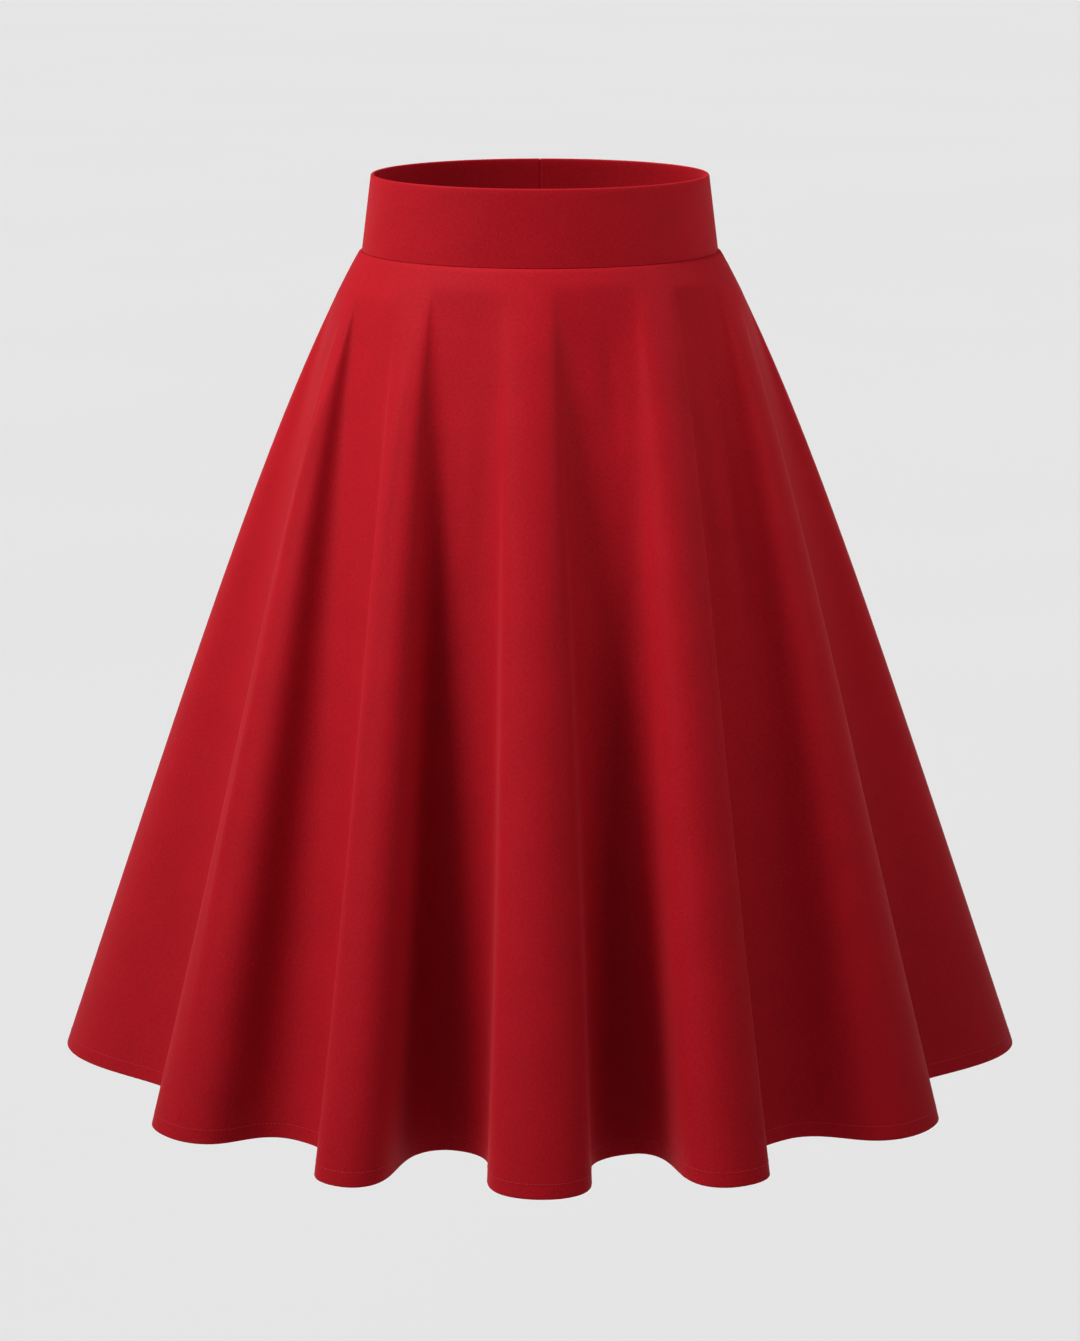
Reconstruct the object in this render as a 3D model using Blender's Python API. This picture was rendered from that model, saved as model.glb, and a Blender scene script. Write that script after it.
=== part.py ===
"""A flared skirt with a wide, high waistband, in the hollow shape that it has when it is worn.

Metres, +Z up. The front faces -Y, and +X is the wearer's left side. The origin is the middle of
the waistband's top edge, where the wearer holds the skirt up. Every ring of the skirt lies level.
A ring angle is 0 at the centre front, 90 degrees at +X and 180 at the centre back.
"""

from typing import NamedTuple

import bmesh
import bpy
import numpy as np

# The waistband: a strip folded along its top edge, with its two ends joined at the centre back.
WAIST_HALF_WIDTH = 0.1238
BAND_FOOT_HALF_WIDTH = 0.1309
BAND_HEIGHT = 0.056
BAND_WALL = 0.0026
WAIST_OVAL = 0.79  # the waist's depth, front to back, over its width

# The skirt: the oval of its top edge grows all round, quickly over the hips, then in straight lines.
SKIRT_TOP_HALF_WIDTH = 0.1326
SKIRT_DROP = 0.614
FLARE = 0.339
HIP_SPRING = 0.0242
HIP_FADE = 0.109
FRONT_SPREAD = 0.987
BACK_SPREAD = 1.02
CLOTH_WALL = 0.0012
SEAM_ROLL = 0.0016  # how far the cloth rolls out over the waist seam, and in what drop

# The hem, turned up once on the inside.
HEM_HEIGHT = 0.012
HEM_WALL = 0.0019

SEAM_GAP = 0.0003

# How the folds grow from the hips down.
FOLD_DRIFT = 0.25  # the smaller, the nearer to the waist a fold line turns to its place at the hem
FOLD_SOFT_START = 0.012
TOP_FALL_SHARE = 0.50  # where a fold starts, it drops evenly
TOP_RISE_SHARE = 0.28  # and rises again beside the next crest
TOP_STEEP = 0.55

# Mesh: columns to each half of a fold, and the level rings.
HALF_FOLD_COLUMNS = 6
BODY_RINGS = 14
RING_CROWDING = 1.45  # above 1, rings lie closer together near the waist
BAND_COLUMNS = 80
BAND_TURN_STEPS = 4

CLOTH_RED = (0.445, 0.0105, 0.0205, 1.0)


class Fold(NamedTuple):
    """A crest and the valley after it, with the fall between them and the rise to the next crest.

    Angles are in degrees, at the waist seam and at the hem, and sizes in metres, at the hem. The depth grows
    from the drop at which the fold opens, sooner where growth is below 1. A share is the part of a flank's
    angle that its crest takes. Steep is 0 for an even wave and 1 for a wall at its middle.
    """

    crest_top: float
    crest_hem: float
    valley_top: float
    valley_hem: float
    reach: float
    depth: float
    opens: float
    growth: float
    fall_share: float
    fall_steep: float
    rise_share: float
    rise_steep: float


FOLDS = (
    # Front, from the right side seam to the left one
    Fold(-98, -92, -88, -64, 0.0000, 0.066, 0.030, 0.85, 0.50, 0.00, 0.46, 0.95),
    Fold(-69, -49.5, -66, -36, -0.0125, 0.068, 0.026, 0.68, 0.56, 0.50, 0.38, 0.80),
    Fold(-38.5, -22.4, -29.5, -13.1, 0.0000, 0.092, 0.013, 0.83, 0.46, 1.00, 0.51, 0.92),
    Fold(-4, 0.3, 12, 13.6, 0.0000, 0.084, 0.010, 0.78, 0.45, 0.95, 0.59, 0.90),
    Fold(36, 22.5, 52, 36.5, 0.0000, 0.068, 0.016, 0.60, 0.37, 1.00, 0.56, 0.35),
    Fold(69, 52.0, 84, 66, -0.0125, 0.070, 0.030, 0.85, 0.52, 0.90, 0.50, 0.00),
    # Back, from the left side seam to the right one
    Fold(98, 92, 110, 107, 0.000, 0.058, 0.030, 0.90, 0.50, 0.10, 0.48, 0.70),
    Fold(123, 119, 135, 131, 0.004, 0.078, 0.024, 0.80, 0.46, 0.75, 0.52, 0.90),
    Fold(146, 143, 158, 155, -0.002, 0.084, 0.014, 0.85, 0.52, 0.95, 0.47, 0.80),
    Fold(168, 167, 180, 179, 0.003, 0.070, 0.018, 0.75, 0.50, 0.80, 0.53, 0.90),
    Fold(190, 190, 202, 202, -0.003, 0.086, 0.013, 0.85, 0.46, 0.95, 0.50, 0.85),
    Fold(212, 214, 225, 227, 0.004, 0.074, 0.020, 0.78, 0.52, 0.85, 0.48, 0.75),
    Fold(236, 240, 249, 253, 0.002, 0.060, 0.028, 0.90, 0.50, 0.70, 0.50, 0.20),
)
FRONT_FOLDS = 6
BACK_FOLDS = len(FOLDS) - FRONT_FOLDS


class Crease(NamedTuple):
    """A small soft ridge, or a trough where height is negative, that dies out at both ends. Angles in
    degrees at its upper and lower end, and sizes in metres."""

    angle_high: float
    angle_low: float
    drop_high: float
    drop_low: float
    height: float
    width: float


CREASES = (
    Crease(18, 19, 0.030, 0.140, -0.0022, 0.0070),
    Crease(54, 44, 0.040, 0.300, -0.0026, 0.0075),
    Crease(48, 40, 0.040, 0.280, 0.0016, 0.0070),
    Crease(-40, -33, 0.050, 0.330, -0.0022, 0.0080),
    Crease(-18, -15, 0.050, 0.240, 0.0014, 0.0110),
    Crease(124, 129, 0.040, 0.230, -0.0020, 0.0080),
    Crease(160, 157, 0.040, 0.200, -0.0022, 0.0075),
    Crease(197, 201, 0.050, 0.260, -0.0020, 0.0080),
    Crease(232, 226, 0.040, 0.220, -0.0022, 0.0075),
)


def oval_ring(angle, half_width, front_depth, back_depth, outward):
    """x and y of a ring's points, moved outward along the oval's normal."""
    side, ahead = np.sin(angle), np.cos(angle)
    depth = np.where(ahead > 0, front_depth, back_depth)
    normal_x, normal_y = side / half_width, -ahead / depth
    length = np.hypot(normal_x, normal_y)
    x = half_width * side + outward * normal_x / length
    y = -depth * ahead + outward * normal_y / length
    return x, y


def fold_form(turn, drop):
    """Ring angle and outward offset of the cloth. turn counts folds: 0 is the first crest, 0.5 its valley."""
    sheet = {name: np.array([getattr(f, name) for f in FOLDS], float) for name in Fold._fields}
    here = np.floor(turn).astype(int)
    phase = 2 * (turn - here)
    rising = phase > 1
    laps, fold = np.divmod(here, len(FOLDS))
    crest_fold = np.where(rising, (fold + 1) % len(FOLDS), fold)
    crest_laps = laps + (rising & (fold == len(FOLDS) - 1))

    drift = (1 - np.exp(-drop / FOLD_DRIFT)) / (1 - np.exp(-SKIRT_DROP / FOLD_DRIFT))
    crest = sheet["crest_top"] + (sheet["crest_hem"] - sheet["crest_top"]) * drift[..., None]
    valley = sheet["valley_top"] + (sheet["valley_hem"] - sheet["valley_top"]) * drift[..., None]
    crest = np.take_along_axis(crest, crest_fold[..., None], -1)[..., 0] + 360 * crest_laps
    valley = np.take_along_axis(valley, fold[..., None], -1)[..., 0] + 360 * laps

    down = drop / SKIRT_DROP
    from_crest = np.where(rising, 2 - phase, phase)
    steep = np.where(rising, sheet["rise_steep"][fold], sheet["fall_steep"][fold])
    steep = TOP_STEEP + (steep - TOP_STEEP) * down
    share = np.where(rising, sheet["rise_share"][fold], sheet["fall_share"][fold])
    top_share = np.where(rising, TOP_RISE_SHARE, TOP_FALL_SHARE)
    share = top_share + (share - top_share) * down
    along = (
        from_crest
        + (share - 0.5) * np.sin(np.pi * from_crest)
        + steep / (2 * np.pi) * np.sin(2 * np.pi * from_crest)
    )
    angle = np.radians(crest + (valley - crest) * along)

    opens = sheet["opens"][fold]
    grown = np.clip((drop - opens) / (SKIRT_DROP - opens), 0, 1)
    soft = FOLD_SOFT_START
    grown = ((np.hypot(grown, soft) - soft) / (np.hypot(1, soft) - soft)) ** sheet["growth"][fold]
    wave = (1 - np.cos(np.pi * from_crest)) / 2
    reach = sheet["reach"][crest_fold] * down
    outward = reach * (1 - wave) - sheet["depth"][fold] * grown * wave
    return angle, outward


def crease_form(angle, drop, radius):
    """How far the small creases move the cloth outward."""
    moved = np.zeros_like(angle)
    for crease in CREASES:
        run = np.clip((drop - crease.drop_high) / (crease.drop_low - crease.drop_high), 0, 1)
        line = np.radians(crease.angle_high + (crease.angle_low - crease.angle_high) * run)
        aside = (np.mod(angle - line + np.pi, 2 * np.pi) - np.pi) * radius
        moved += crease.height * np.sin(np.pi * run) ** 2 * np.exp(-((aside / crease.width) ** 2))
    return moved


def skirt_surface(turn, drop):
    """The skirt cloth's outer face, as points in the last axis."""
    turn, drop = np.broadcast_arrays(np.asarray(turn, float), np.asarray(drop, float))
    spread = FLARE * drop + HIP_SPRING * (1 - np.exp(-drop / HIP_FADE))
    top_depth = SKIRT_TOP_HALF_WIDTH * WAIST_OVAL
    half_width = SKIRT_TOP_HALF_WIDTH + spread
    angle, outward = fold_form(turn, drop)
    outward = outward + crease_form(angle, drop, half_width)
    outward = outward - SEAM_ROLL * np.clip(1 - drop / SEAM_ROLL, 0, 1) ** 2
    x, y = oval_ring(
        angle, half_width, top_depth + FRONT_SPREAD * spread, top_depth + BACK_SPREAD * spread, outward
    )
    z = -BAND_HEIGHT - SEAM_GAP / 2 - drop
    return np.stack([x, y, z], -1)


def surface_frame(surface, across, down):
    """Points of a surface, its unit direction across and its unit normal outward."""
    step = 1e-4
    points = surface(across, down)
    over = surface(across + step, down) - surface(across - step, down)
    under = surface(across, down + step) - surface(across, down)
    normal = np.cross(under, over)
    over /= np.linalg.norm(over, axis=-1, keepdims=True)
    normal /= np.linalg.norm(normal, axis=-1, keepdims=True)
    return points, over, normal


def wall(name, outer, inner, material):
    """A closed cloth wall between two grids of points, indexed [ring, column]."""
    rings, columns = outer.shape[:2]
    bm = bmesh.new()
    bmesh.ops.create_grid(bm, x_segments=columns - 1, y_segments=rings - 1, size=0.5)
    places = {}
    for vert in bm.verts:
        column = round((vert.co.x + 0.5) * (columns - 1))
        ring = round((0.5 - vert.co.y) * (rings - 1))
        places[vert] = (ring, column)
    copy = bmesh.ops.duplicate(bm, geom=bm.verts[:] + bm.edges[:] + bm.faces[:])
    inner_faces = [item for item in copy["geom"] if isinstance(item, bmesh.types.BMFace)]
    bmesh.ops.reverse_faces(bm, faces=inner_faces)
    for vert, (ring, column) in places.items():
        vert.co = outer[ring, column]
        copy["vert_map"][vert].co = inner[ring, column]
    bmesh.ops.bridge_loops(bm, edges=[edge for edge in bm.edges if edge.is_boundary])
    bmesh.ops.recalc_face_normals(bm, faces=bm.faces[:])
    mesh = bpy.data.meshes.new(name)
    bm.to_mesh(mesh)
    bm.free()
    mesh.shade_smooth()
    mesh.set_sharp_from_angle(angle=np.radians(50))
    mesh.materials.append(material)
    obj = bpy.data.objects.new(name, mesh)
    bpy.data.collections[COLLECTION].objects.link(obj)
    return obj


def ring_drops():
    """Drops of the level rings: two in the seam's roll, the body, and the step into the turned hem."""
    body_end = SKIRT_DROP - HEM_HEIGHT
    body = body_end * (np.arange(1, BODY_RINGS + 1) / BODY_RINGS) ** RING_CROWDING
    roll = [0, SEAM_ROLL / 2, SEAM_ROLL]
    hem = [body_end + (HEM_WALL - CLOTH_WALL), SKIRT_DROP]
    return np.array([*roll, *body, *hem])


def skirt_panel(name, first_fold, fold_count, material):
    """One panel of the skirt, from side seam to side seam."""
    turns = first_fold + np.arange(2 * HALF_FOLD_COLUMNS * fold_count + 1) / (2 * HALF_FOLD_COLUMNS)
    drops = ring_drops()
    turn_grid, drop_grid = np.meshgrid(turns, drops)
    points, over, normal = surface_frame(skirt_surface, turn_grid, drop_grid)
    points[:, 0] += over[:, 0] * SEAM_GAP / 2
    points[:, -1] -= over[:, -1] * SEAM_GAP / 2
    thickness = np.where(drops > SKIRT_DROP - HEM_HEIGHT + SEAM_GAP, HEM_WALL, CLOTH_WALL)
    inward = normal.copy()
    inward[..., 2] = 0
    inward /= np.linalg.norm(inward, axis=-1, keepdims=True)
    # Moved in level, so that the hem and the top edge stay flat; the lean of the cloth makes up the rest.
    level = thickness[:, None] / np.sum(inward * normal, axis=-1)
    return wall(name, points, points - inward * level[..., None], material)


def band_surface(turn, down):
    """The band's outer face. turn goes once round from the centre back, and down runs from 0 to 1."""
    turn, down = np.broadcast_arrays(np.asarray(turn, float), np.asarray(down, float))
    half_width = WAIST_HALF_WIDTH + (BAND_FOOT_HALF_WIDTH - WAIST_HALF_WIDTH) * down
    angle = np.pi + 2 * np.pi * turn
    x, y = oval_ring(angle, half_width, half_width * WAIST_OVAL, half_width * WAIST_OVAL, 0)
    return np.stack([x, y, -BAND_HEIGHT * down], -1)


def waistband(name, material):
    """The band, with its top edge rounded over where the strip is folded."""
    turns = np.arange(BAND_COLUMNS + 1) / BAND_COLUMNS
    radius = BAND_WALL / 2
    turn_angles = np.linspace(0, np.pi / 2, BAND_TURN_STEPS + 1)
    turn_downs = radius * (1 - np.sin(turn_angles)) / BAND_HEIGHT
    foot = 1 - SEAM_GAP / 2 / BAND_HEIGHT
    downs = np.array([*turn_downs[::-1], 0.35, 0.7, foot])
    # Half the wall's thickness at each ring: nothing at the very top, full below the fold.
    halves = radius * np.array([*np.cos(turn_angles)[::-1], 1, 1, 1])
    halves[0] = radius * np.cos(turn_angles[-2]) / 2
    turn_grid, down_grid = np.meshgrid(turns, downs)
    points, over, normal = surface_frame(band_surface, turn_grid, down_grid)
    points[:, 0] += over[:, 0] * SEAM_GAP / 2
    points[:, -1] -= over[:, -1] * SEAM_GAP / 2
    normal[..., 2] = 0
    normal /= np.linalg.norm(normal, axis=-1, keepdims=True)
    middle = points - normal * radius
    outer = middle + normal * halves[:, None, None]
    inner = middle - normal * halves[:, None, None]
    return wall(name, outer, inner, material)


def cloth_material():
    """Red crepe: matt, with no metal in it."""
    material = bpy.data.materials.new("red_crepe")
    material.use_nodes = True
    shader = material.node_tree.nodes["Principled BSDF"]
    shader.inputs["Base Color"].default_value = CLOTH_RED
    shader.inputs["Roughness"].default_value = 0.75
    shader.inputs["Metallic"].default_value = 0.0
    material.diffuse_color = CLOTH_RED
    return material


COLLECTION = "flared_skirt"


def main():
    for obj in list(bpy.data.objects):
        bpy.data.objects.remove(obj)
    collection = bpy.data.collections.new(COLLECTION)
    bpy.context.scene.collection.children.link(collection)
    crepe = cloth_material()
    waistband("waistband", crepe)
    skirt_panel("skirt_front", 0, FRONT_FOLDS, crepe)
    skirt_panel("skirt_back", FRONT_FOLDS, BACK_FOLDS, crepe)


main()
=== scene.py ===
"""A red flared skirt with a wide waistband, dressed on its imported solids.

Metres, +Z up, and the front faces -Y. The skirt hangs hollow, as it does when it is worn. Every sheet of
cloth here has its outer face on its solid's outer face, and its own thickness inside that.
"""

import math
from typing import NamedTuple

import bpy
import numpy as np
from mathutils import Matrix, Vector


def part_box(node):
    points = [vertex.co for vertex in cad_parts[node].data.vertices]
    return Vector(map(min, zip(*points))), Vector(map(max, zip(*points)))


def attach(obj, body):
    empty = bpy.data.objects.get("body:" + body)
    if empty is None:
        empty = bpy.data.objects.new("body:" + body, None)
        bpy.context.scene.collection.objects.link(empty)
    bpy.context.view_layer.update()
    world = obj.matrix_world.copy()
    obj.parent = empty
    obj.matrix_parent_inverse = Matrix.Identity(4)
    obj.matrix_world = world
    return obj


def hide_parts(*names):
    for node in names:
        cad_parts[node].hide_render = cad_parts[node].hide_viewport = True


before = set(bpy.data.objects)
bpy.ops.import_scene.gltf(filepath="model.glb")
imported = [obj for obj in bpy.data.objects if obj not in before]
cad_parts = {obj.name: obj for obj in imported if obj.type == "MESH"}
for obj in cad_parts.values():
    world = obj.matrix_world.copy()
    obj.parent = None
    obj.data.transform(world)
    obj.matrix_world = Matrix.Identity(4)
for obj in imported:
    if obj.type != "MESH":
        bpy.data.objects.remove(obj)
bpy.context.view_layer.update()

# Sizes that the solids give.
SEAM_GAP = 0.0003
BAND_LOW, BAND_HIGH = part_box("waistband")
HEM_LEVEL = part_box("skirt_front")[0].z
BAND_HEIGHT = -BAND_LOW.z + SEAM_GAP / 2
BAND_FOOT_HALF_WIDTH = BAND_HIGH.x
SKIRT_DROP = -HEM_LEVEL - BAND_HEIGHT - SEAM_GAP / 2

# The waist's oval and the skirt's spread below it.
WAIST_HALF_WIDTH = 0.1238
WAIST_OVAL = 0.79
BAND_WALL = 0.0026
SKIRT_TOP_HALF_WIDTH = 0.1326
FLARE = 0.339
HIP_SPRING = 0.0242
HIP_FADE = 0.109
FRONT_SPREAD = 0.987
BACK_SPREAD = 1.02
SEAM_ROLL = 0.0016

# The cloth and its hem.
CLOTH = 0.0007
HEM_HEIGHT = 0.012
HEM_FOLD = 0.00075  # radius of the cloth's outer face where it turns under
HEM_STITCH_HEIGHT = 0.0098
EDGE_ROLL = 0.0008

# The seams. An inset is how far an allowance's outer face lies inside the cloth's.
ALLOWANCE_WIDTH = 0.010
ALLOWANCE_INSET = 0.0011
ALLOWANCE_ENDS = 0.0006
BAND_ALLOWANCE = 0.009  # how far the band's inner layer hangs below the waist seam
BAND_ALLOWANCE_WIDTH = 0.007
BAND_ALLOWANCE_INSET = 0.00095
BAND_ALLOWANCE_ENDS = 0.0010
BAND_SEAM_GAP = 0.0001
GROOVE_DEPTH = 0.0003

# How the pieces are cut: each panel a sector of a ring, and the band a strip.
CUT_INNER_RADIUS = 0.209

# How the folds grow from the hips down.
FOLD_DRIFT = 0.25
FOLD_SOFT_START = 0.012
TOP_FALL_SHARE = 0.50
TOP_RISE_SHARE = 0.28
TOP_STEEP = 0.55

# Mesh: columns to each half of a fold, and rows down the cloth.
FRONT_HALF_FOLD_COLUMNS = 25
BACK_HALF_FOLD_COLUMNS = 22
BODY_ROWS = 112
ROW_CROWDING = 1.3
HEM_ROWS = 14
HEM_LEAD_IN = 0.002
FOLD_STEPS = 7
TURN_UP_ROWS = 8
BAND_COLUMNS = 240
BAND_LAYER_ROWS = 16
BAND_FOLD_STEPS = 8
SIDE_SEAM_ROWS = 60
BAND_SEAM_ROWS = 12


class Fold(NamedTuple):
    """A crest and the valley after it. Angles are in degrees at the waist seam and at the hem, sizes in
    metres at the hem, and the shares and steepness shape the flanks, as in the solids."""

    crest_top: float
    crest_hem: float
    valley_top: float
    valley_hem: float
    reach: float
    depth: float
    opens: float
    growth: float
    fall_share: float
    fall_steep: float
    rise_share: float
    rise_steep: float


FOLDS = (
    # Front, from the right side seam to the left one
    Fold(-98, -92, -88, -64, 0.0000, 0.066, 0.030, 0.85, 0.50, 0.00, 0.46, 0.95),
    Fold(-69, -49.5, -66, -36, -0.0125, 0.068, 0.026, 0.68, 0.56, 0.50, 0.38, 0.80),
    Fold(-38.5, -22.4, -29.5, -13.1, 0.0000, 0.092, 0.013, 0.83, 0.46, 1.00, 0.51, 0.92),
    Fold(-4, 0.3, 12, 13.6, 0.0000, 0.084, 0.010, 0.78, 0.45, 0.95, 0.59, 0.90),
    Fold(36, 22.5, 52, 36.5, 0.0000, 0.068, 0.016, 0.60, 0.37, 1.00, 0.56, 0.35),
    Fold(69, 52.0, 84, 66, -0.0125, 0.070, 0.030, 0.85, 0.52, 0.90, 0.50, 0.00),
    # Back, from the left side seam to the right one
    Fold(98, 92, 110, 107, 0.000, 0.058, 0.030, 0.90, 0.50, 0.10, 0.48, 0.70),
    Fold(123, 119, 135, 131, 0.004, 0.078, 0.024, 0.80, 0.46, 0.75, 0.52, 0.90),
    Fold(146, 143, 158, 155, -0.002, 0.084, 0.014, 0.85, 0.52, 0.95, 0.47, 0.80),
    Fold(168, 167, 180, 179, 0.003, 0.070, 0.018, 0.75, 0.50, 0.80, 0.53, 0.90),
    Fold(190, 190, 202, 202, -0.003, 0.086, 0.013, 0.85, 0.46, 0.95, 0.50, 0.85),
    Fold(212, 214, 225, 227, 0.004, 0.074, 0.020, 0.78, 0.52, 0.85, 0.48, 0.75),
    Fold(236, 240, 249, 253, 0.002, 0.060, 0.028, 0.90, 0.50, 0.70, 0.50, 0.20),
)
FRONT_FOLDS = 6


class Crease(NamedTuple):
    """A small soft ridge, or a trough where height is negative, that dies out at both ends."""

    angle_high: float
    angle_low: float
    drop_high: float
    drop_low: float
    height: float
    width: float


CREASES = (
    Crease(18, 19, 0.030, 0.140, -0.0022, 0.0070),
    Crease(54, 44, 0.040, 0.300, -0.0026, 0.0075),
    Crease(48, 40, 0.040, 0.280, 0.0016, 0.0070),
    Crease(-40, -33, 0.050, 0.330, -0.0022, 0.0080),
    Crease(-18, -15, 0.050, 0.240, 0.0014, 0.0110),
    Crease(-63, -55.5, 0.030, 0.280, 0.0020, 0.0050),
    Crease(-57, -48.5, 0.180, 0.620, 0.0018, 0.0050),
    Crease(-36.5, -28.5, 0.020, 0.270, 0.0020, 0.0050),
    Crease(-30.5, -25.5, 0.160, 0.600, 0.0018, 0.0050),
    Crease(-9.5, -5.5, 0.120, 0.520, -0.0006, 0.0050),
    Crease(3, 4, 0.120, 0.600, -0.0010, 0.0070),
    Crease(124, 129, 0.040, 0.230, -0.0020, 0.0080),
    Crease(160, 157, 0.040, 0.200, -0.0022, 0.0075),
    Crease(197, 201, 0.050, 0.260, -0.0020, 0.0080),
    Crease(232, 226, 0.040, 0.220, -0.0022, 0.0075),
)


def oval_ring(angle, half_width, front_depth, back_depth, outward):
    """x and y of a ring's points, moved outward along the oval's normal."""
    side, ahead = np.sin(angle), np.cos(angle)
    depth = np.where(ahead > 0, front_depth, back_depth)
    normal_x, normal_y = side / half_width, -ahead / depth
    length = np.hypot(normal_x, normal_y)
    x = half_width * side + outward * normal_x / length
    y = -depth * ahead + outward * normal_y / length
    return x, y


def fold_form(turn, drop):
    """Ring angle and outward offset of the cloth. turn counts folds: a whole number is a crest, and the
    valley after it is half a turn on."""
    table = {name: np.array([getattr(f, name) for f in FOLDS], float) for name in Fold._fields}
    here = np.floor(turn).astype(int)
    phase = 2 * (turn - here)
    rising = phase > 1
    laps, fold = np.divmod(here, len(FOLDS))
    crest_fold = np.where(rising, (fold + 1) % len(FOLDS), fold)
    crest_laps = laps + (rising & (fold == len(FOLDS) - 1))

    drift = (1 - np.exp(-drop / FOLD_DRIFT)) / (1 - np.exp(-SKIRT_DROP / FOLD_DRIFT))
    crest = table["crest_top"] + (table["crest_hem"] - table["crest_top"]) * drift[..., None]
    valley = table["valley_top"] + (table["valley_hem"] - table["valley_top"]) * drift[..., None]
    crest = np.take_along_axis(crest, crest_fold[..., None], -1)[..., 0] + 360 * crest_laps
    valley = np.take_along_axis(valley, fold[..., None], -1)[..., 0] + 360 * laps

    down = drop / SKIRT_DROP
    from_crest = np.where(rising, 2 - phase, phase)
    steep = np.where(rising, table["rise_steep"][fold], table["fall_steep"][fold])
    steep = TOP_STEEP + (steep - TOP_STEEP) * down
    share = np.where(rising, table["rise_share"][fold], table["fall_share"][fold])
    top_share = np.where(rising, TOP_RISE_SHARE, TOP_FALL_SHARE)
    share = top_share + (share - top_share) * down
    along = (
        from_crest
        + (share - 0.5) * np.sin(np.pi * from_crest)
        + steep / (2 * np.pi) * np.sin(2 * np.pi * from_crest)
    )
    angle = np.radians(crest + (valley - crest) * along)

    opens = table["opens"][fold]
    grown = np.clip((drop - opens) / (SKIRT_DROP - opens), 0, None)
    soft = FOLD_SOFT_START
    grown = ((np.hypot(grown, soft) - soft) / (np.hypot(1, soft) - soft)) ** table["growth"][fold]
    wave = (1 - np.cos(np.pi * from_crest)) / 2
    reach = table["reach"][crest_fold] * down
    outward = reach * (1 - wave) - table["depth"][fold] * grown * wave
    return angle, outward


def crease_form(angle, drop, radius):
    """How far the small creases move the cloth outward."""
    moved = np.zeros_like(angle)
    for crease in CREASES:
        run = np.clip((drop - crease.drop_high) / (crease.drop_low - crease.drop_high), 0, 1)
        line = np.radians(crease.angle_high + (crease.angle_low - crease.angle_high) * run)
        aside = (np.mod(angle - line + np.pi, 2 * np.pi) - np.pi) * radius
        moved += crease.height * np.sin(np.pi * run) ** 2 * np.exp(-((aside / crease.width) ** 2))
    return moved


def skirt_surface(turn, drop):
    """The skirt cloth's outer face, as points in the last axis."""
    turn, drop = np.broadcast_arrays(np.asarray(turn, float), np.asarray(drop, float))
    spread = FLARE * drop + HIP_SPRING * (1 - np.exp(-drop / HIP_FADE))
    top_depth = SKIRT_TOP_HALF_WIDTH * WAIST_OVAL
    half_width = SKIRT_TOP_HALF_WIDTH + spread
    angle, outward = fold_form(turn, drop)
    outward = outward + crease_form(angle, drop, half_width)
    outward = outward - SEAM_ROLL * np.clip(1 - drop / SEAM_ROLL, 0, 1) ** 2
    x, y = oval_ring(
        angle, half_width, top_depth + FRONT_SPREAD * spread, top_depth + BACK_SPREAD * spread, outward
    )
    z = -BAND_HEIGHT - SEAM_GAP / 2 - drop
    return np.stack([x, y, z], -1)


def band_surface(turn, drop):
    """The waistband's outer face. turn goes once round, from the centre back."""
    turn, drop = np.broadcast_arrays(np.asarray(turn, float), np.asarray(drop, float))
    half_width = WAIST_HALF_WIDTH + (BAND_FOOT_HALF_WIDTH - WAIST_HALF_WIDTH) * drop / BAND_HEIGHT
    angle = np.pi + 2 * np.pi * turn
    x, y = oval_ring(angle, half_width, half_width * WAIST_OVAL, half_width * WAIST_OVAL, 0)
    return np.stack([x, y, -drop], -1)


def surface_frame(surface, across, down):
    """Points of a surface, its unit direction across and its unit normal outward."""
    step = 1e-4
    points = surface(across, down)
    over = surface(across + step, down) - surface(across - step, down)
    under = surface(across, down + step) - surface(across, down)
    normal = np.cross(under, over)
    over /= np.linalg.norm(over, axis=-1, keepdims=True)
    normal /= np.linalg.norm(normal, axis=-1, keepdims=True)
    return points, over, normal


def edge_roll(depth):
    """How far the cloth has sunk at this distance from a seamed edge."""
    left = np.clip(EDGE_ROLL - depth, 0, EDGE_ROLL)
    return EDGE_ROLL - np.sqrt(EDGE_ROLL**2 - left**2)


def roll_side_edges(points, over, outward, gap):
    """Roll a sheet's first and last three columns into their seams, half the gap from the seam line."""
    from_seam = (gap / 2, EDGE_ROLL * 0.4, EDGE_ROLL)
    for columns, side in (((0, 1, 2), 1), ((-1, -2, -3), -1)):
        for column, depth in zip(columns, from_seam):
            points[:, column] += side * over[:, column] * depth - outward[:, column] * edge_roll(depth)


def lay_out(surface, turns, drops, insets):
    """Points of a sheet on a surface, [row, column], its two side edges rolled into their seams."""
    turn_grid, drop_grid = np.meshgrid(turns, drops)
    points, over, normal = surface_frame(surface, turn_grid, drop_grid)
    roll_side_edges(points, over, normal, SEAM_GAP)
    return points - normal * np.asarray(insets)[:, None, None]


def with_seam_columns(turns):
    """The columns of a sheet, its first and last one three times, for the rolled edges."""
    return np.array([turns[0], turns[0], *turns, turns[-1], turns[-1]])


def deselect_all():
    for obj in bpy.context.selected_objects:
        obj.select_set(False)


def sector_pattern(points):
    """Where each point of a panel lay in the flat cut, in metres: the cut is a sector of a ring."""
    along = np.cumsum(np.linalg.norm(np.diff(points, axis=0, prepend=points[:1]), axis=-1), axis=0)
    across = np.cumsum(np.linalg.norm(np.diff(points, axis=1, prepend=points[:, :1]), axis=-1), axis=1)
    across -= across[:, -1:] / 2
    radius = CUT_INNER_RADIUS + along
    angle = across / radius
    return np.stack([radius * np.sin(angle), -radius * np.cos(angle)], -1)


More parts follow.
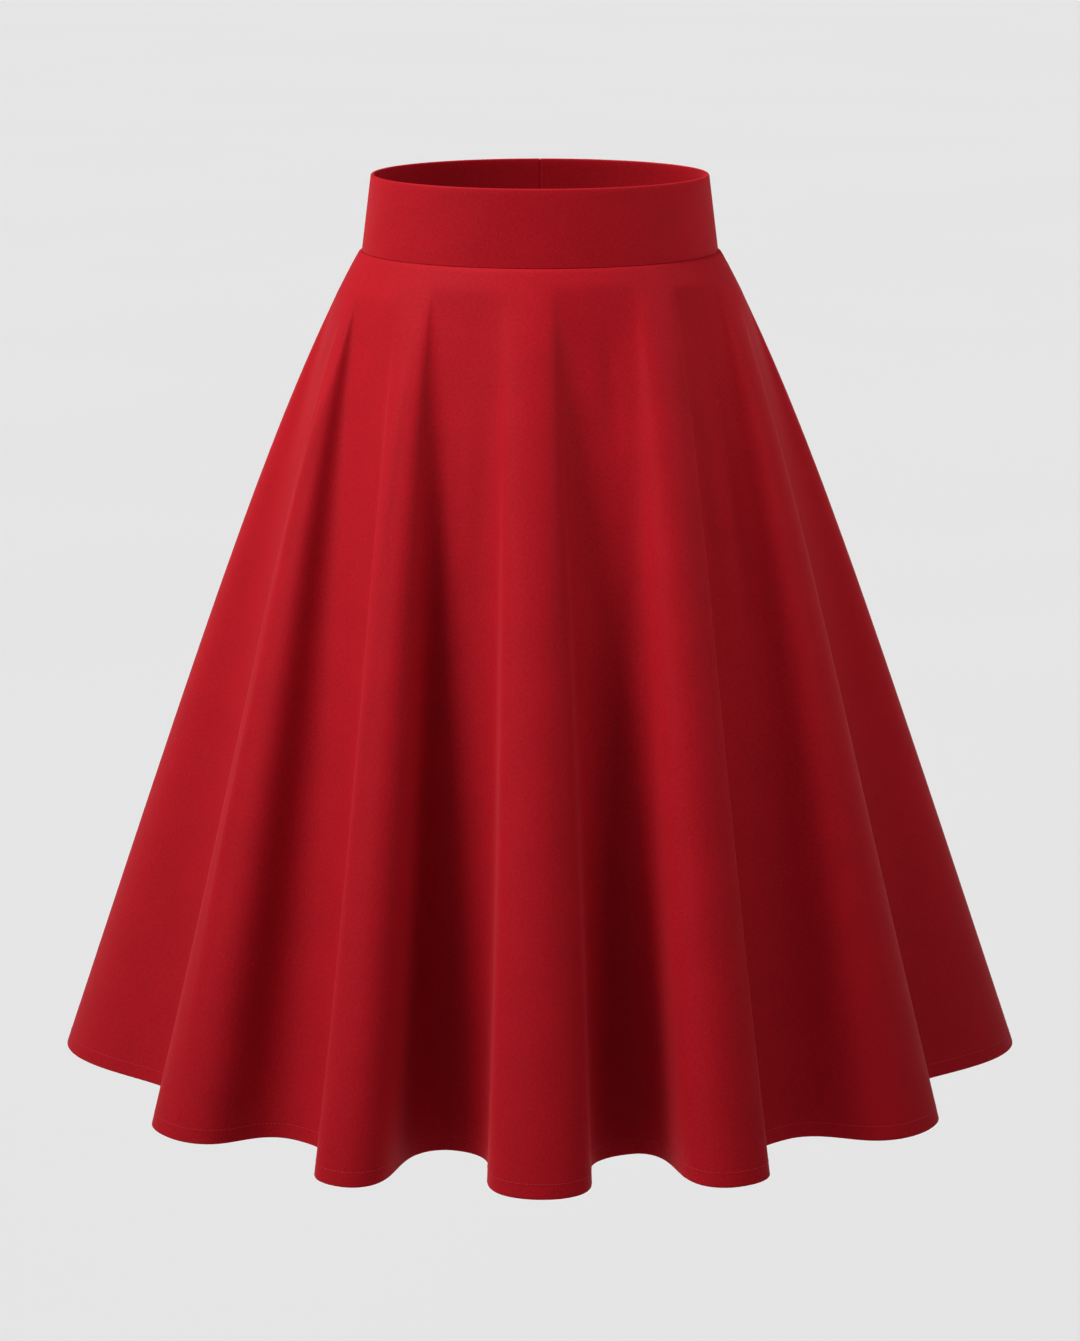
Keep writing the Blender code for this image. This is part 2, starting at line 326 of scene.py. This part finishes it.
def strip_pattern(points):
    """Where each point of a straight strip lay in the flat cut, in metres."""
    along = np.cumsum(np.linalg.norm(np.diff(points, axis=0, prepend=points[:1]), axis=-1), axis=0)
    across = np.cumsum(np.linalg.norm(np.diff(points, axis=1, prepend=points[:, :1]), axis=-1), axis=1)
    return np.stack([across, -along], -1)


def cloth_sheet(name, points, pattern, material):
    """A sheet of cloth: a grid whose rows and columns are laid at points, given its thickness inwards."""
    rows, columns = points.shape[:2]
    deselect_all()
    bpy.ops.mesh.primitive_grid_add(x_subdivisions=columns - 1, y_subdivisions=rows - 1, size=1)
    sheet = bpy.context.object
    sheet.name = name
    mesh = sheet.data
    mesh.name = name
    flat = np.empty(len(mesh.vertices) * 3, np.float32)
    mesh.vertices.foreach_get("co", flat)
    flat = flat.reshape(-1, 3)
    column = np.rint((flat[:, 0] + 0.5) * (columns - 1)).astype(int)
    row = np.rint((0.5 - flat[:, 1]) * (rows - 1)).astype(int)
    mesh.vertices.foreach_set("co", points[row, column].astype(np.float32).ravel())
    corner = np.empty(len(mesh.loops), np.int32)
    mesh.loops.foreach_get("vertex_index", corner)
    layer = mesh.uv_layers[0]
    layer.name = "cut"
    layer.data.foreach_set("uv", pattern[row, column][corner].astype(np.float32).ravel())
    mesh.materials.append(material)
    thick = sheet.modifiers.new("cloth thickness", "SOLIDIFY")
    thick.thickness = CLOTH
    thick.offset = -1
    bpy.ops.object.modifier_apply(modifier=thick.name)
    bpy.ops.object.shade_smooth_by_angle(angle=math.radians(60))
    return sheet


def hanging_rows():
    """Drop and inset of each row of a panel: down the body, round the hem's fold and up the turn-up."""
    hem_start = SKIRT_DROP - HEM_HEIGHT - HEM_LEAD_IN
    body = hem_start * (np.arange(1, BODY_ROWS + 1) / BODY_ROWS) ** ROW_CROWDING
    roll = np.array([0, 0.25, 0.5, 0.75]) * SEAM_ROLL
    body = np.array([*roll, *body[body > SEAM_ROLL]])
    bend = SKIRT_DROP - HEM_FOLD
    hem = np.linspace(hem_start, bend, HEM_ROWS)[1:]
    sweep = np.linspace(0, np.pi, FOLD_STEPS + 1)[1:]
    fold_drop = bend + HEM_FOLD * np.sin(sweep)
    fold_inset = HEM_FOLD * (1 - np.cos(sweep))
    up = np.linspace(bend, SKIRT_DROP - HEM_HEIGHT, TURN_UP_ROWS)[1:]
    drops = np.array([*body, *hem, *fold_drop, *up])
    insets = np.zeros_like(drops)
    insets[len(body) + len(hem) :] = 2 * HEM_FOLD
    insets[len(body) + len(hem) : len(body) + len(hem) + len(sweep)] = fold_inset
    return drops, insets


def skirt_panel(name, first_fold, fold_count, half_fold_columns, material):
    """One panel of the skirt, from side seam to side seam, with its hem turned up."""
    steps = 2 * half_fold_columns * fold_count
    turns = first_fold + np.arange(steps + 1) / (2 * half_fold_columns)
    drops, insets = hanging_rows()
    points = lay_out(skirt_surface, with_seam_columns(turns), drops, insets)
    return cloth_sheet(name, points, sector_pattern(points), material)


def waistband(material):
    """The waistband: one strip, up the inside, over its fold at the top edge and down the outside."""
    radius = BAND_WALL / 2
    foot = BAND_HEIGHT - SEAM_GAP / 2
    inside = np.linspace(foot + BAND_ALLOWANCE, radius, BAND_LAYER_ROWS)
    sweep = np.linspace(0, np.pi, BAND_FOLD_STEPS + 1)[1:-1]
    fold_drop = radius * (1 - np.sin(sweep))
    fold_inset = radius * (1 + np.cos(sweep))
    outside = np.linspace(radius, foot, BAND_LAYER_ROWS)
    drops = np.array([*inside, *fold_drop, *outside])
    insets = np.array([*np.full(len(inside), BAND_WALL), *fold_inset, *np.zeros(len(outside))])
    turns = np.arange(BAND_COLUMNS + 1) / BAND_COLUMNS
    turn_grid, drop_grid = np.meshgrid(with_seam_columns(turns), drops)
    points, over, normal = surface_frame(band_surface, turn_grid, drop_grid)
    level = normal.copy()
    level[..., 2] = 0
    level /= np.linalg.norm(level, axis=-1, keepdims=True)
    points = points - level * insets[:, None, None]
    lean = np.array([*np.full(len(inside), math.pi), *(np.pi - sweep), *np.zeros(len(outside))])
    face = level * np.cos(lean)[:, None, None]
    face[..., 2] = np.sin(lean)[:, None]
    roll_side_edges(points, over, face, BAND_SEAM_GAP)
    return cloth_sheet("waistband_cloth", points, strip_pattern(points), material)


def beyond(surface, turn, drops, distances):
    """Turns that lie these distances to each side of a line on a surface, [row, column]."""
    step = 1e-4
    pace = np.linalg.norm(surface(turn + step, drops) - surface(turn - step, drops), axis=-1) / (2 * step)
    return turn + np.asarray(distances) / pace[:, None]


def seam_allowance(name, surface, turn, drops, half_width, inset, material):
    """The two seam allowances inside a seam, pressed open and meeting in a shallow groove."""
    distances = half_width * np.array([-1, -0.5, -0.03, 0, 0.03, 0.5, 1])
    insets = inset + GROOVE_DEPTH * np.array([0, 0, 0, 1, 0, 0, 0])
    turn_grid = beyond(surface, turn, drops, distances)
    drop_grid = np.broadcast_to(drops[:, None], turn_grid.shape)
    points, over, normal = surface_frame(surface, turn_grid, drop_grid)
    points = points - normal * insets[:, None]
    return cloth_sheet(name, points, strip_pattern(points), material)


def side_seams(material):
    """The seam allowances of both side seams, from the waist down to the turned-up hem."""
    drops = np.linspace(ALLOWANCE_ENDS, SKIRT_DROP - HEM_HEIGHT - ALLOWANCE_ENDS, SIDE_SEAM_ROWS)
    sizes = (ALLOWANCE_WIDTH, ALLOWANCE_INSET)
    left = seam_allowance("side_seam_allowances", skirt_surface, FRONT_FOLDS, drops, *sizes, material)
    right = seam_allowance("right_side_seam", skirt_surface, len(FOLDS), drops, *sizes, material)
    deselect_all()
    right.select_set(True)
    left.select_set(True)
    bpy.context.view_layer.objects.active = left
    bpy.ops.object.join()
    return left


def band_seam(material):
    """The seam allowances between the waistband's two layers, at the centre back."""
    drops = np.linspace(BAND_ALLOWANCE_ENDS, BAND_HEIGHT - BAND_ALLOWANCE_ENDS, BAND_SEAM_ROWS)
    sizes = (BAND_ALLOWANCE_WIDTH, BAND_ALLOWANCE_INSET)
    return seam_allowance("band_seam_allowances", band_surface, 0, drops, *sizes, material)


def linear(hex_colour):
    """The linear colour of an sRGB hex value."""
    parts = [int(hex_colour[i : i + 2], 16) / 255 for i in (1, 3, 5)]
    return (*[c / 12.92 if c <= 0.04045 else ((c + 0.055) / 1.055) ** 2.4 for c in parts], 1.0)


def add_node(tree, kind, inputs=None, **settings):
    """A node with its settings. An input takes a value, or another node's output socket to link."""
    node = tree.nodes.new(kind)
    for key, value in settings.items():
        setattr(node, key, value)
    for key, value in (inputs or {}).items():
        if isinstance(value, bpy.types.NodeSocket):
            tree.links.new(value, node.inputs[key])
        else:
            node.inputs[key].default_value = value
    return node


YARN_PITCH_MM = 1.7  # the real one is about 0.4 mm, too fine to show at this size
YARN_WANDER = 0.8  # in pitches
PEBBLE_MM = 2.2
CLOUD_MM = 38.0
CREPE_RELIEF_MM = 0.10
WEAVE_RELIEF, PEBBLE_RELIEF = 0.3, 1.4  # times that relief
WEAVE_SHADE, CLOUD_SHADE, PEBBLE_SHADE = 0.45, 0.30, 0.70
THREAD_MOTTLE = 1800.0  # cells of noise to a metre, 0.56 mm each


def red_crepe():
    """Polyester stretch crepe, piece-dyed red: a matt, close, slightly pebbled face. Hard-twisted yarns
    scatter the light, so it has no gloss, and only a soft bloom where it is seen edge on."""
    material = bpy.data.materials.new("red_crepe")
    material.use_nodes = True
    tree = material.node_tree
    shader = tree.nodes["Principled BSDF"]
    cut = add_node(tree, "ShaderNodeUVMap", uv_map="cut").outputs["UV"]

    def per_mm(size_mm):
        scale = 1000 / size_mm
        return add_node(
            tree, "ShaderNodeMapping", {"Vector": cut, "Scale": (scale, scale, scale)}
        ).outputs["Vector"]

    def noise(size_mm, detail, roughness=0.5):
        return add_node(
            tree,
            "ShaderNodeTexNoise",
            {"Vector": per_mm(size_mm), "Scale": 1.0, "Detail": detail, "Roughness": roughness},
        ).outputs["Fac"]

    def maths(operation, *values):
        return add_node(
            tree, "ShaderNodeMath", dict(enumerate(values)), operation=operation
        ).outputs["Value"]

    pebble = noise(PEBBLE_MM, 2.0, 0.6)
    cloud = noise(CLOUD_MM, 3.0)
    yarns = add_node(tree, "ShaderNodeSeparateXYZ", {"Vector": per_mm(YARN_PITCH_MM)})
    wander = maths("MULTIPLY", pebble, YARN_WANDER)
    warp = maths("SINE", maths("MULTIPLY", maths("ADD", yarns.outputs["X"], wander), 2 * math.pi))
    weft = maths("SINE", maths("MULTIPLY", maths("SUBTRACT", yarns.outputs["Y"], wander), 2 * math.pi))
    weave = maths("MULTIPLY", warp, weft)
    height = maths(
        "ADD", maths("MULTIPLY", weave, WEAVE_RELIEF), maths("MULTIPLY", pebble, PEBBLE_RELIEF)
    )

    shade = maths("ADD", maths("MULTIPLY", weave, WEAVE_SHADE), maths("MULTIPLY", cloud, CLOUD_SHADE))
    shade = maths("ADD", shade, maths("MULTIPLY", pebble, PEBBLE_SHADE))
    colour = add_node(tree, "ShaderNodeValToRGB", {"Fac": shade})
    ramp = colour.color_ramp
    ramp.elements[0].position = 0.25
    ramp.elements[0].color = linear("#7A060F")
    ramp.elements[1].position = 0.75
    ramp.elements[1].color = linear("#980C18")
    tree.links.new(colour.outputs["Color"], shader.inputs["Base Color"])

    bump = add_node(
        tree, "ShaderNodeBump", {"Height": height, "Strength": 1.0, "Distance": CREPE_RELIEF_MM / 1000}
    )
    tree.links.new(bump.outputs["Normal"], shader.inputs["Normal"])
    shader.inputs["Roughness"].default_value = 0.68
    shader.inputs["Specular IOR Level"].default_value = 0.055
    shader.inputs["Sheen Weight"].default_value = 0.26
    shader.inputs["Sheen Roughness"].default_value = 0.42
    shader.inputs["Sheen Tint"].default_value = linear("#FF5C64")
    return material


def polyester_thread():
    """Spun polyester sewing thread dyed to match the cloth, a little glossier than the crepe."""
    material = bpy.data.materials.new("polyester_thread")
    material.use_nodes = True
    tree = material.node_tree
    shader = tree.nodes["Principled BSDF"]
    place = add_node(tree, "ShaderNodeTexCoord").outputs["Object"]
    mottle = add_node(
        tree, "ShaderNodeTexNoise", {"Vector": place, "Scale": THREAD_MOTTLE, "Detail": 1.0}
    ).outputs["Fac"]
    colour = add_node(tree, "ShaderNodeValToRGB", {"Fac": mottle})
    colour.color_ramp.elements[0].color = linear("#8A1019")
    colour.color_ramp.elements[1].color = linear("#A81A26")
    tree.links.new(colour.outputs["Color"], shader.inputs["Base Color"])
    shader.inputs["Roughness"].default_value = 0.55
    shader.inputs["Specular IOR Level"].default_value = 0.2
    return material


STITCH_LENGTH = 0.0021
STITCH_PITCH = 0.0029
STITCH_SIDES = 5
STITCH_RISE = 1.4  # its middle above its ends, in thread radii
STITCH_SINK = 0.9  # its ends below the cloth's face, in thread radii
THREAD_RADIUS = 0.00019
SEAM_MARGIN = 0.002  # bare cloth between a seam and the first stitch


def stitch_form():
    """One stitch along +X with its middle at the origin, its two ends sunk: vertices and faces."""
    bpy.ops.mesh.primitive_cylinder_add(
        vertices=STITCH_SIDES, radius=1, depth=2, end_fill_type="NOTHING", rotation=(0, math.pi / 2, 0)
    )
    tube = bpy.context.object
    bpy.ops.object.transform_apply(rotation=True)
    bpy.ops.object.mode_set(mode="EDIT")
    bpy.ops.mesh.select_all(action="SELECT")
    bpy.ops.mesh.bisect(plane_co=(-0.5, 0, 0), plane_no=(1, 0, 0))
    bpy.ops.mesh.select_all(action="SELECT")
    bpy.ops.mesh.bisect(plane_co=(0.5, 0, 0), plane_no=(1, 0, 0))
    bpy.ops.object.mode_set(mode="OBJECT")
    mesh = tube.data
    points = np.array([v.co for v in mesh.vertices])
    faces = [tuple(p.vertices) for p in mesh.polygons]
    bpy.data.objects.remove(tube)
    bow = 1 - points[:, 0] ** 2
    points[:, 0] *= STITCH_LENGTH / 2
    points[:, 1] *= THREAD_RADIUS
    points[:, 2] = points[:, 2] * THREAD_RADIUS + THREAD_RADIUS * (STITCH_RISE * bow - STITCH_SINK)
    return points, faces


def stitch_row(name, places, along, outward, material):
    """Stitches at places, each along its own direction and standing a little out of the cloth."""
    form, faces = stitch_form()
    aside = np.cross(outward, along)
    count, size = len(places), len(form)
    points = (
        places[:, None]
        + form[None, :, 0:1] * along[:, None]
        + form[None, :, 1:2] * aside[:, None]
        + form[None, :, 2:3] * outward[:, None]
    )
    starts = range(0, count * size, size)
    all_faces = [tuple(start + i for i in face) for start in starts for face in faces]
    mesh = bpy.data.meshes.new(name)
    mesh.from_pydata(points.reshape(-1, 3).tolist(), [], all_faces)
    mesh.shade_smooth()
    mesh.materials.append(material)
    row = bpy.data.objects.new(name, mesh)
    bpy.context.scene.collection.objects.link(row)
    return row


def evenly_along(surface, first, last, drop, pitch):
    """Places, directions and normals at an even pitch along a level line on a surface."""
    turns = np.linspace(first, last, 6001)
    line = surface(turns, drop)
    length = np.concatenate([[0], np.cumsum(np.linalg.norm(np.diff(line, axis=0), axis=1))])
    marks = np.arange(SEAM_MARGIN, length[-1] - SEAM_MARGIN, pitch)
    at = np.interp(marks, length, turns)
    return surface_frame(surface, at, np.full_like(at, drop))


def hem_stitches(name, first_fold, fold_count, material):
    """The row that holds the turned-up hem, seen on the outside of one panel."""
    drop = SKIRT_DROP - HEM_STITCH_HEIGHT
    places, along, outward = evenly_along(
        skirt_surface, first_fold, first_fold + fold_count, drop, STITCH_PITCH
    )
    return stitch_row(name, places, along, outward, material)


FLOOR_SIZE = 160.0
FLOOR_LEVEL = -2.4


def studio_floor():
    """A plain pale floor, far enough below for the skirt's shadow to fall out of the picture."""
    deselect_all()
    bpy.ops.mesh.primitive_plane_add(size=FLOOR_SIZE, location=(0, 0, FLOOR_LEVEL))
    floor = bpy.context.object
    floor.name = "floor"
    bpy.ops.object.transform_apply(location=True)
    material = bpy.data.materials.new("painted_floor")
    material.use_nodes = True
    tree = material.node_tree
    shader = tree.nodes["Principled BSDF"]
    place = add_node(tree, "ShaderNodeTexCoord").outputs["Object"]
    mottle = add_node(tree, "ShaderNodeTexNoise", {"Vector": place, "Scale": 0.5, "Detail": 2.0})
    colour = add_node(tree, "ShaderNodeValToRGB", {"Fac": mottle.outputs["Fac"]})
    colour.color_ramp.elements[0].color = linear("#DADADA")
    colour.color_ramp.elements[1].color = linear("#DDDDDD")
    tree.links.new(colour.outputs["Color"], shader.inputs["Base Color"])
    shader.inputs["Roughness"].default_value = 1.0
    shader.inputs["Specular IOR Level"].default_value = 0.0
    floor.data.materials.append(material)
    return floor


SIDE_AZIMUTH = 90.0  # degrees towards -X from straight ahead
SIDE_HEIGHT = 65.0
SIDE_STRENGTH = 3.7
SIDE_SOFTNESS = 30.0
BOX_SIZE = 0.8
BOX_SPREAD = 46.0
BOX_AIM = (0, 0, -0.1)
KEY_PLACE = (-1.6, -0.9, 1.2)
KEY_POWER = 4.3
FILL_PLACE = (1.6, -0.6, 1.3)
FILL_POWER = 2.6
SKY_STRENGTH = 0.03
HORIZON_STRENGTH = 0.77
HORIZON_FADE = 0.128  # the sine of the height where the sky's own strength is reached


def soft_box(name, place, power):
    """A square soft light that faces the waist."""
    box = bpy.data.lights.new(name, "AREA")
    box.energy = power
    box.size = BOX_SIZE
    box.spread = math.radians(BOX_SPREAD)
    lamp = bpy.data.objects.new(name, box)
    lamp.location = place
    aim = Vector(BOX_AIM) - lamp.location
    lamp.rotation_euler = aim.to_track_quat("-Z", "Y").to_euler()
    bpy.context.scene.collection.objects.link(lamp)


def studio_light():
    """Two soft boxes high at the front, a broad light high on the left, and a plain grey room around."""
    soft_box("key", KEY_PLACE, KEY_POWER)
    soft_box("fill", FILL_PLACE, FILL_POWER)

    sun = bpy.data.lights.new("side", "SUN")
    sun.energy = SIDE_STRENGTH
    sun.angle = math.radians(SIDE_SOFTNESS)
    side = bpy.data.objects.new("side", sun)
    side.rotation_euler = (math.radians(90 - SIDE_HEIGHT), 0, math.radians(-SIDE_AZIMUTH))
    bpy.context.scene.collection.objects.link(side)

    world = bpy.data.worlds.new("studio")
    bpy.context.scene.world = world
    world.use_nodes = True
    tree = world.node_tree
    direction = add_node(tree, "ShaderNodeTexCoord").outputs["Generated"]
    up = add_node(tree, "ShaderNodeSeparateXYZ", {"Vector": direction}).outputs["Z"]
    fade = add_node(tree, "ShaderNodeValToRGB", {"Fac": up})
    horizon, sky = fade.color_ramp.elements
    horizon.color = (HORIZON_STRENGTH,) * 3 + (1,)
    sky.color = (SKY_STRENGTH,) * 3 + (1,)
    sky.position = HORIZON_FADE
    tree.links.new(fade.outputs["Color"], tree.nodes["Background"].inputs["Color"])
    bpy.context.scene.view_settings.view_transform = "Standard"


CAMERA_DISTANCE = 3.0
CAMERA_HEIGHT = 0.346
CAMERA_DOWN = 13.5
CAMERA_LENS = 110.0  # mm
CAMERA_SENSOR = 36.0  # mm, for the picture's long side


def camera():
    """The photograph's viewpoint: ahead of the skirt, a little above the waist, looking down."""
    lens = bpy.data.cameras.new("camera")
    lens.sensor_width = CAMERA_SENSOR
    lens.lens = CAMERA_LENS
    view = bpy.data.objects.new("camera", lens)
    view.location = (0, -CAMERA_DISTANCE, CAMERA_HEIGHT)
    view.rotation_euler = (math.radians(90 - CAMERA_DOWN), 0, 0)
    bpy.context.scene.collection.objects.link(view)
    bpy.context.scene.camera = view


def main():
    crepe = red_crepe()
    thread = polyester_thread()
    back_folds = len(FOLDS) - FRONT_FOLDS
    band = waistband(crepe)
    front = skirt_panel("skirt_front_cloth", 0, FRONT_FOLDS, FRONT_HALF_FOLD_COLUMNS, crepe)
    back = skirt_panel("skirt_back_cloth", FRONT_FOLDS, back_folds, BACK_HALF_FOLD_COLUMNS, crepe)
    front_hem = hem_stitches("hem_stitches_front", 0, FRONT_FOLDS, thread)
    back_hem = hem_stitches("hem_stitches_back", FRONT_FOLDS, back_folds, thread)
    sides = side_seams(crepe)
    centre_back = band_seam(crepe)

    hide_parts("waistband")
    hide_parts("skirt_front")
    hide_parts("skirt_back")
    for piece in (band, front, back, front_hem, back_hem, sides, centre_back):
        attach(piece, "root")

    studio_floor()
    studio_light()
    camera()


main()
